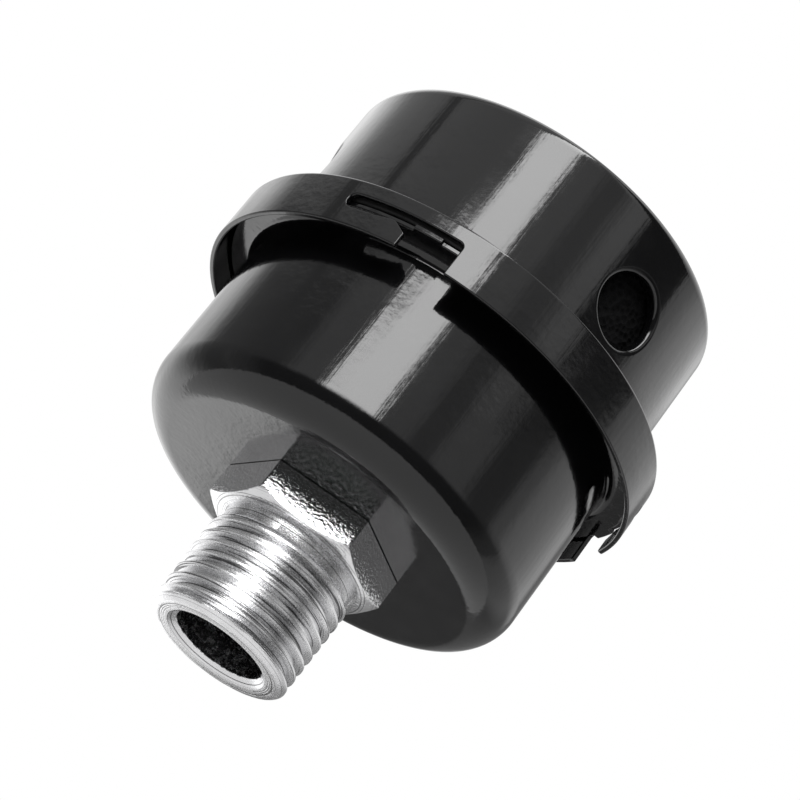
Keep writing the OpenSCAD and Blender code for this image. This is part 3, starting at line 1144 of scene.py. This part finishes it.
def nipple_body_mesh(nip, material):
    """The threaded tube with its neck, spigot and bore, as one closed surface."""
    thread = thread_recipe().run(
        "nipple_thread",
        {
            "Length": nip.thread_length * MM,
            "Pitch": nip.pitch * MM,
            "Crest": nip.crest * MM,
            "Depth": nip.depth * MM,
            "Taper": nip.taper,
            "Nose": nip.nose * MM,
            "Nose Length": 1.5 * MM,
            "Neck": nip.neck * MM,
            "Turns": 10,
            "Columns": NIPPLE_COLUMNS,
            "Material": material,
        },
    )
    angles = [k * TURN / NIPPLE_COLUMNS for k in range(NIPPLE_COLUMNS)]
    top = NIPPLE_TOP_Z
    section = [
        (nip.neck, nip.thread_length),
        (nip.neck, nip.hexagon_z),
        (nip.neck, SEAT_Z),
        (nip.spigot, SEAT_Z),
        (nip.spigot, top - 0.5),
        (nip.spigot - 0.5, top),
        (nip.bore + 0.25, top),
        (nip.bore, top - 0.25),
        (nip.bore, nip.mouth - nip.bore),
        (nip.mouth, 0.12),
        (nip.mouth + 0.12, 0),
        (nip.nose, 0),
    ]
    skin = Skin()
    skin.lathe([ring(angles, r, z, 1, 0) for r, z in section])
    rest = skin.mesh("nipple_rest", own_normals=False)
    work = bmesh.new()
    work.from_mesh(thread)
    work.from_mesh(rest)
    joined = bpy.data.meshes.new("nipple_body")
    work.to_mesh(joined)
    work.free()
    return finish_mesh(joined)


def box_outline(r0, r1, z0, z1, radius=0.15):
    return rounded([(r0, z0), (r1, z0), (r1, z1), (r0, z1)], radius)


# ---- Operators --------------------------------------------------------------


class MUFFLER_OT_base_can(bpy.types.Operator):
    """Builds the painted base can with its flange and three lugs"""

    bl_idname = "muffler.base_can"
    bl_label = "Base can"

    def execute(self, context):
        scene = context.scene
        mesh = base_can_mesh(sizes(scene.muffler_cans), sizes(scene.muffler_openings))
        paint = finish_named("black_gloss_paint", gloss_paint, "paint")
        place("base_can_painted", mesh, paint, "base", ["base_can"], "black_gloss_paint")
        return {"FINISHED"}


class MUFFLER_OT_cap_can(bpy.types.Operator):
    """Builds the painted cap can with its air holes, ledge and slotted collar"""

    bl_idname = "muffler.cap_can"
    bl_label = "Cap can"

    def execute(self, context):
        scene = context.scene
        mesh = cap_can_mesh(sizes(scene.muffler_cans), sizes(scene.muffler_openings))
        paint = finish_named("black_gloss_paint", gloss_paint, "paint")
        place("cap_can_painted", mesh, paint, "cap", ["cap_can"], "black_gloss_paint")
        return {"FINISHED"}


class MUFFLER_OT_nipple(bpy.types.Operator):
    """Builds the zinc-plated nipple: tapered thread, neck, bore, spigot and hexagon"""

    bl_idname = "muffler.nipple"
    bl_label = "Threaded nipple"

    def execute(self, context):
        nip = sizes(context.scene.muffler_nipple)
        lined = finish_named("zinc_turned", zinc_turned, "zinc")
        zinc = finish_named("zinc_plated_steel", zinc_plate, "zinc")
        nodes, slot = ["threaded_nipple"], "zinc_plated_steel"
        place("nipple_body", nipple_body_mesh(nip, lined), lined, "base", nodes, slot)
        mesh = hexagon_mesh(
            "nipple_hexagon", nip.flats, nip.corner, nip.neck, nip.hexagon_z, SEAT_Z, nip.dome, nip.face
        )
        place("nipple_hexagon", mesh, zinc, "base", nodes, slot)
        return {"FINISHED"}


class MUFFLER_OT_nipple_clamp(bpy.types.Operator):
    """Builds the washers and the lock nut that clamp the base can to the nipple"""

    bl_idname = "muffler.nipple_clamp"
    bl_label = "Washers and lock nut"

    def execute(self, context):
        hole = sizes(context.scene.muffler_nipple).spigot + 0.1
        zinc = finish_named("zinc_plated_steel", zinc_plate, "zinc")
        fibre = finish_named("red_fibre", pressed_fibre, "fibre")
        low, high, r = span("nipple_fibre_washer")
        mesh = turned("fibre_washer", box_outline(hole, r, low, high, 0.1))
        place("fibre_washer", mesh, fibre, "base", ["nipple_fibre_washer"], "red_fibre")
        low, high, r = span("nipple_backing_washer")
        mesh = turned("backing_washer", box_outline(hole, r, low, high, 0.25))
        place("backing_washer", mesh, zinc, "base", ["nipple_backing_washer"], "zinc_plated_steel")
        low, high, r = span("nipple_lock_nut")
        flats = 2 * r * math.cos(math.radians(30))
        mesh = hexagon_mesh("lock_nut", flats, 0, hole, low, high, 30, 11.6, both_ends=True)
        place("lock_nut", mesh, zinc, "base", ["nipple_lock_nut"], "zinc_plated_steel")
        return {"FINISHED"}


SEAL_HOLE_R = 28.6
CARTRIDGE_HOLE_R = 14.9
PLATE_RIM_R = 22.0
PLATE_EDGE = 0.22
FOAM_WALL = 3.1
FOAM_LEVELS = 70
PAPER_GAP = 0.2


class MUFFLER_OT_seals(bpy.types.Operator):
    """Builds the rubber ring in the cap and the gasket under the cartridge"""

    bl_idname = "muffler.seals"
    bl_label = "Rubber seals"

    def execute(self, context):
        black = finish_named("black_rubber", rubber, "rubber")
        low, high, r = span("cap_seal_ring")
        mesh = turned("seal_ring", box_outline(SEAL_HOLE_R, r, low, high, 0.5), 240)
        place("seal_ring", mesh, black, "cap", ["cap_seal_ring"], "black_rubber")
        low, high, r = span("cartridge_seat_gasket")
        inner = CARTRIDGE_HOLE_R
        groove = (r - inner) / 5
        outline = [(inner, low), (r, low), (r, high)]
        outline += [(r - groove, high), (r - 1.4 * groove, high - 0.5)]
        outline += [(inner + 1.4 * groove, high - 0.5), (inner + groove, high), (inner, high)]
        mesh = turned("seat_gasket", rounded(outline, 0.3), 240)
        place("seat_gasket", mesh, black, "cartridge", ["cartridge_seat_gasket"], "black_rubber")
        return {"FINISHED"}


class MUFFLER_OT_pressure_pad(bpy.types.Operator):
    """Builds the felt pad that presses the cartridge on to its seat"""

    bl_idname = "muffler.pressure_pad"
    bl_label = "Pressure pad"

    def execute(self, context):
        felt = finish_named("grey_felt", wool_felt, "felt")
        low, high, r = span("cap_pressure_pad")
        levels = [low + (high - low) * k / 10 for k in range(1, 10)]
        outline = [(0, low)] + [(r * k / 24, low) for k in range(1, 24)] + [(r - 0.5, low)]
        outline += [(r, z) for z in levels]
        outline += [(r - 0.5, high)] + [(r * k / 24, high) for k in range(23, 0, -1)] + [(0, high)]
        middle = Vector((0, 0, (low + high) / 2))

        def fuzz(point):
            p = Vector(point)
            if math.hypot(p.x, p.y) < 0.1:
                return point
            inward = middle - p
            depth = 0.14 * abs(noise.noise(p * 1.7)) + 0.06 * abs(noise.noise(p * 5))
            return tuple(p + inward.normalized() * depth)

        mesh = turned("pressure_pad", outline, 160, fuzz)
        pad = place("pressure_pad", mesh, felt, "pad", ["cap_pressure_pad"], "grey_felt")
        return {"FINISHED"}


class MUFFLER_OT_cartridge_plates(bpy.types.Operator):
    """Builds the pressed plates at the two ends of the filter cartridge"""

    bl_idname = "muffler.cartridge_plates"
    bl_label = "Cartridge plates"

    def execute(self, context):
        tin = finish_named("tinned_sheet", tinned_sheet, "tin")
        t = sizes(context.scene.muffler_cartridge).plate
        inner, rim = CARTRIDGE_HOLE_R, PLATE_RIM_R
        low, high, r = span("cartridge_lower_plate")
        outline = [(inner, low), (r, low), (r, low + t), (rim + t, low + t), (rim + t, high)]
        outline += [(rim, high), (rim, low + t), (inner + t, low + t), (inner + t, high), (inner, high)]
        mesh = turned("lower_plate", rounded(outline, PLATE_EDGE), 240)
        place("lower_plate", mesh, tin, "cartridge", ["cartridge_lower_plate"], "tinned_sheet")
        low, high, r = span("cartridge_upper_plate")
        bead = [(13.0, 0), (12.4, 0.25), (11.6, 0.5), (10.4, 0.5), (9.6, 0.25), (9.0, 0)]
        outline = [(0, high), (9.0, high)]
        outline += [(x, high - d) for x, d in reversed(bead[:-1])]
        outline += [(r, high), (r, high - t), (rim + t, high - t), (rim + t, low), (rim, low)]
        outline += [(rim, high - t)] + [(x, high - t - d) for x, d in bead] + [(0, high - t)]
        mesh = turned("upper_plate", rounded(outline, PLATE_EDGE), 240)
        place("upper_plate", mesh, tin, "cartridge", ["cartridge_upper_plate"], "tinned_sheet")
        return {"FINISHED"}


class MUFFLER_OT_core_tube(bpy.types.Operator):
    """Builds the perforated tube that carries the filter paper"""

    bl_idname = "muffler.core_tube"
    bl_label = "Core tube"

    def execute(self, context):
        cart = sizes(context.scene.muffler_cartridge)
        tin = finish_named("tinned_sheet", tinned_sheet, "tin")
        low, high, r = span("filter_core_tube")
        mesh = perforated_recipe().run(
            "core_tube",
            {
                "Bottom": low * MM,
                "Top": high * MM,
                "Radius": (r - cart.plate) * MM,
                "Wall": cart.plate * MM,
                "Hole Share": 0.62,
                "Rows": cart.hole_rows,
                "Columns": cart.hole_columns,
                "Material": tin,
            },
        )
        place("core_tube", finish_mesh(mesh), tin, "cartridge", ["filter_core_tube"], "tinned_sheet")
        return {"FINISHED"}


class MUFFLER_OT_filter_paper(bpy.types.Operator):
    """Builds the pleated filter paper"""

    bl_idname = "muffler.filter_paper"
    bl_label = "Filter paper"

    def execute(self, context):
        cart = sizes(context.scene.muffler_cartridge)
        paper = finish_named("filter_paper", filter_paper, "paper")
        low, high, r = span("pleated_filter_paper")
        mesh = pleat_recipe().run(
            "pleated_paper",
            {
                "Bottom": low * MM,
                "Top": high * MM,
                "Inner": (span("filter_core_tube")[2] + PAPER_GAP) * MM,
                "Outer": r * MM,
                "Wall": cart.pleat_wall * MM,
                "Pleats": cart.pleats,
                "Material": paper,
            },
        )
        nodes, slot = ["pleated_filter_paper"], "filter_paper"
        place("pleated_paper", finish_mesh(mesh), paper, "cartridge", nodes, slot)
        return {"FINISHED"}


class MUFFLER_OT_foam_sleeve(bpy.types.Operator):
    """Builds the open-cell foam sleeve round the paper"""

    bl_idname = "muffler.foam_sleeve"
    bl_label = "Foam sleeve"

    def execute(self, context):
        black = finish_named("black_foam", open_foam, "foam")
        low, high, r = span("foam_prefilter_sleeve")
        inner = r - FOAM_WALL
        levels = [low + (high - low) * k / FOAM_LEVELS for k in range(FOAM_LEVELS + 1)]
        outline = [(r, z) for z in levels] + [(inner, z) for z in (high, low)]

        def pitted(point):
            p = Vector(point)
            radius = math.hypot(p.x, p.y)
            depth = 0.3 * abs(noise.noise(p * 1.3)) + 0.12 * abs(noise.noise(p * 3.5))
            if radius < r - 0.5:
                return point
            scale = (radius - depth) / radius
            return p.x * scale, p.y * scale, p.z

        mesh = turned("foam_sleeve", outline, 240, pitted)
        foam = place("foam_sleeve", mesh, black, "cartridge", ["foam_prefilter_sleeve"], "black_foam")
        return {"FINISHED"}


# ---- Stage ------------------------------------------------------------------

# Soft cards round the stage: from azimuth, to azimuth, how soft the ends are, level.
# Each list starts with the level between its cards. The first lights what faces the upper
# cards, the second what faces the lower ones, and the third is below the horizon.
UPPER_CARDS = (
    0.85,
    (108, 142, 24, 1.85),
    (10, 66, 20, 1.3),
    (72, 88, 8, 0.55),
    (179, 186, 4, 0.3),
    (239, 262, 4, 10.0),
    (280, 296, 8, 0.55),
    (300, 312, 6, 1.1),
    (314, 356, 5, 0.08),
)
LOWER_CARDS = (
    0.65,
    (90, 124, 10, 1.0),
    (120, 142, 12, 1.4),
    (0, 56, 16, 1.0),
    (60, 78, 8, 0.25),
    (150, 208, 12, 0.28),
    (230, 262, 5, 9.5),
    (282, 298, 8, 0.35),
    (324, 348, 10, 0.25),
)
BELOW_CARDS = (
    0.3,
    (80, 93, 4, 0.16),
    (91, 175, 4, 1.6),
    (142, 185, 36, 0.25),
    (0, 45, 20, 0.7),
    (190, 345, 20, 0.1),
)
UPPER_ELEVATION, LOWER_ELEVATION = 28.5, 25.5
HORIZON_LOW, HORIZON_HIGH = 2.0, 15.0

# Floor and camera, in metres and millimetres of lens.
FLOOR_RADIUS, FLOOR_Z = 1.2, -0.6
LENS, SENSOR, NEAREST = 128.4, 36.0, 0.01
CAMERA_PLACE = Vector((-0.0009, -0.3396, -0.1143))
VIEW_DIRECTION = Vector((0, 0.9077, 0.4197))
VIEW_UP = Vector((-0.6132, -0.3315, 0.7170))


class Sky:
    """The light round the stage, written as formulas on the direction of each ray."""

    def __init__(self, world):
        world.use_nodes = True
        self.tree = world.node_tree
        self.tree.nodes.clear()

    def node(self, kind, inputs, **settings):
        node = self.tree.nodes.new(kind)
        for key, value in settings.items():
            setattr(node, key, value)
        for key, value in inputs.items():
            if isinstance(value, bpy.types.NodeSocket):
                self.tree.links.new(value, node.inputs[key])
            else:
                node.inputs[key].default_value = value
        return node

    def math(self, operation, *values):
        return self.node("ShaderNodeMath", dict(enumerate(values)), operation=operation).outputs[0]

    def fade(self, value, start, end):
        inputs = {"Value": value, "From Min": start, "From Max": end}
        node = self.node("ShaderNodeMapRange", inputs, interpolation_type="SMOOTHSTEP")
        return node.outputs["Result"]

    def mix(self, factor, low, high):
        span_ = self.math("SUBTRACT", high, low)
        return self.math("MULTIPLY_ADD", factor, span_, low)

    def cards(self, azimuth, cards):
        level = cards[0]
        for start, end, soft, strength in cards[1:]:
            rise = self.fade(azimuth, start - soft / 2, start + soft / 2)
            fall = self.fade(azimuth, end - soft / 2, end + soft / 2)
            level = self.mix(self.math("SUBTRACT", rise, fall), level, strength)
        return level


def light_stage(world):
    sky = Sky(world)
    ray = sky.node("ShaderNodeTexCoord", {}).outputs["Generated"]
    x, y, z = sky.node("ShaderNodeSeparateXYZ", {0: ray}).outputs
    radians = sky.math("ARCTAN2", y, x)
    azimuth = sky.math("MULTIPLY", radians, 180 / math.pi)
    azimuth = sky.math("FLOORED_MODULO", azimuth, float(TURN))
    elevation = sky.math("MULTIPLY", sky.math("ARCSINE", z), 180 / math.pi)
    upper = sky.fade(elevation, LOWER_ELEVATION, UPPER_ELEVATION)
    around = sky.mix(upper, sky.cards(azimuth, LOWER_CARDS), sky.cards(azimuth, UPPER_CARDS))
    below = sky.cards(azimuth, BELOW_CARDS)
    above_horizon = sky.fade(elevation, HORIZON_LOW, HORIZON_HIGH)
    level = sky.mix(above_horizon, below, around)
    seen = sky.node("ShaderNodeLightPath", {}).outputs["Is Camera Ray"]
    level = sky.mix(seen, level, 1.0)
    light = sky.node("ShaderNodeBackground", {"Color": (1, 1, 1, 1), "Strength": level})
    output = sky.node("ShaderNodeOutputWorld", {"Surface": light.outputs[0]})
    return output


class MUFFLER_OT_stage(bpy.types.Operator):
    """Sets up the pale floor, the soft studio light and the camera"""

    bl_idname = "muffler.stage"
    bl_label = "Stage"

    def execute(self, context):
        scene = context.scene
        material = finish_named("floor", pale_floor, "floor")
        mesh = bpy.data.meshes.new("floor")
        work = bmesh.new()
        bmesh.ops.create_circle(work, cap_ends=True, segments=96, radius=FLOOR_RADIUS)
        bmesh.ops.translate(work, verts=work.verts, vec=(0, 0, FLOOR_Z))
        work.to_mesh(mesh)
        work.free()
        mesh.materials.append(material)
        floor = bpy.data.objects.new("floor", mesh)
        scene.collection.objects.link(floor)
        world = bpy.data.worlds.new("soft_studio")
        light_stage(world)
        scene.world = world
        lens = bpy.data.cameras.new("camera")
        lens.lens, lens.sensor_width, lens.clip_start = LENS, SENSOR, NEAREST
        camera = bpy.data.objects.new("camera", lens)
        forward = VIEW_DIRECTION.normalized()
        right = forward.cross(VIEW_UP).normalized()
        up = right.cross(forward)
        turned_by = Matrix((right, up, -forward)).transposed().to_4x4()
        camera.matrix_world = Matrix.Translation(CAMERA_PLACE) @ turned_by
        scene.collection.objects.link(camera)
        scene.camera = camera
        scene.view_settings.view_transform = "Standard"
        return {"FINISHED"}


def finish_named(name, maker, colour_name):
    """The material of that name, made from the user's colour when it is first asked for."""
    if name not in bpy.data.materials or "muffler" not in bpy.data.materials[name]:
        value = tuple(getattr(bpy.context.scene.muffler_finishes, colour_name))
        made = maker(value)
        made["muffler"] = True
        FINISHES[name] = made
    return FINISHES[name]


FINISHES = {}
STEPS = (
    MUFFLER_OT_base_can,
    MUFFLER_OT_cap_can,
    MUFFLER_OT_nipple,
    MUFFLER_OT_nipple_clamp,
    MUFFLER_OT_seals,
    MUFFLER_OT_pressure_pad,
    MUFFLER_OT_cartridge_plates,
    MUFFLER_OT_core_tube,
    MUFFLER_OT_filter_paper,
    MUFFLER_OT_foam_sleeve,
    MUFFLER_OT_stage,
)


class MUFFLER_PT_panel(bpy.types.Panel):
    """Lists the building steps and the settings that they use"""

    bl_idname = "MUFFLER_PT_panel"
    bl_label = "Intake muffler"
    bl_space_type = "VIEW_3D"
    bl_region_type = "UI"
    bl_category = "Muffler"

    def draw(self, context):
        layout = self.layout
        for step in STEPS:
            layout.operator(step.bl_idname)
        for group_name in GROUPS:
            group = getattr(context.scene, group_name)
            box = layout.box()
            for key in group.__annotations__:
                box.prop(group, key)


GROUPS = {
    "muffler_cans": MufflerCanSizes,
    "muffler_openings": MufflerOpeningSizes,
    "muffler_nipple": MufflerNippleSizes,
    "muffler_cartridge": MufflerCartridgeSizes,
    "muffler_finishes": MufflerFinishes,
}
CLASSES = (*GROUPS.values(), *STEPS, MUFFLER_PT_panel)


def register():
    for cls in CLASSES:
        bpy.utils.register_class(cls)
    for name, group in GROUPS.items():
        setattr(bpy.types.Scene, name, bpy.props.PointerProperty(type=group))


def unregister():
    for name in GROUPS:
        delattr(bpy.types.Scene, name)
    for cls in reversed(CLASSES):
        bpy.utils.unregister_class(cls)


def main():
    register()
    for step in STEPS:
        family, name = step.bl_idname.split(".")
        getattr(getattr(bpy.ops, family), name)()


if __name__ == "__main__":
    main()
